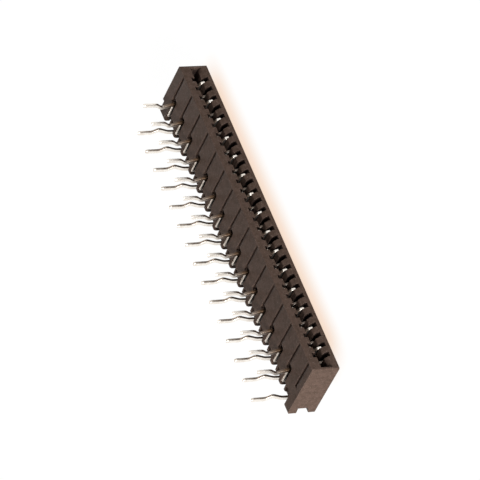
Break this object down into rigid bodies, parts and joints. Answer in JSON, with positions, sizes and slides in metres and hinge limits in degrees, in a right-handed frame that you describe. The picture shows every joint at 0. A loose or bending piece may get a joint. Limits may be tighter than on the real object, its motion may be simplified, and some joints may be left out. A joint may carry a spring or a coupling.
{
  "type": "flat flex cable connector",
  "caption": "Low right-angle board connector for a flat flex cable: a long slotted housing with stamped fork contacts and two staggered rows of kinked solder tails.",
  "frame": {"origin": "middle of the flat cover face that the connector lies on", "axes": "+X along the row of contacts, -Y out of the slot that takes the cable, +Z from the cover towards the circuit board, the way the solder tails point"},
  "size_m": [0.04, 0.0072, 0.0066],
  "materials": {
    "housing": "matte moulded",
    "contacts": "tin plated, satin"
  },
  "bodies": {
    "root": {"housing": "housing", "front_contact_01": "contacts", "front_contact_02": "contacts", "front_contact_03": "contacts", "front_contact_04": "contacts", "front_contact_05": "contacts", "front_contact_06": "contacts", "front_contact_07": "contacts", "front_contact_08": "contacts", "front_contact_09": "contacts", "front_contact_10": "contacts", "front_contact_11": "contacts", "front_contact_12": "contacts", "front_contact_13": "contacts", "front_contact_14": "contacts", "front_contact_15": "contacts", "rear_contact_01": "contacts", "rear_contact_02": "contacts", "rear_contact_03": "contacts", "rear_contact_04": "contacts", "rear_contact_05": "contacts", "rear_contact_06": "contacts", "rear_contact_07": "contacts", "rear_contact_08": "contacts", "rear_contact_09": "contacts", "rear_contact_10": "contacts", "rear_contact_11": "contacts", "rear_contact_12": "contacts", "rear_contact_13": "contacts", "rear_contact_14": "contacts", "rear_contact_15": "contacts"}
  },
  "joints": []
}
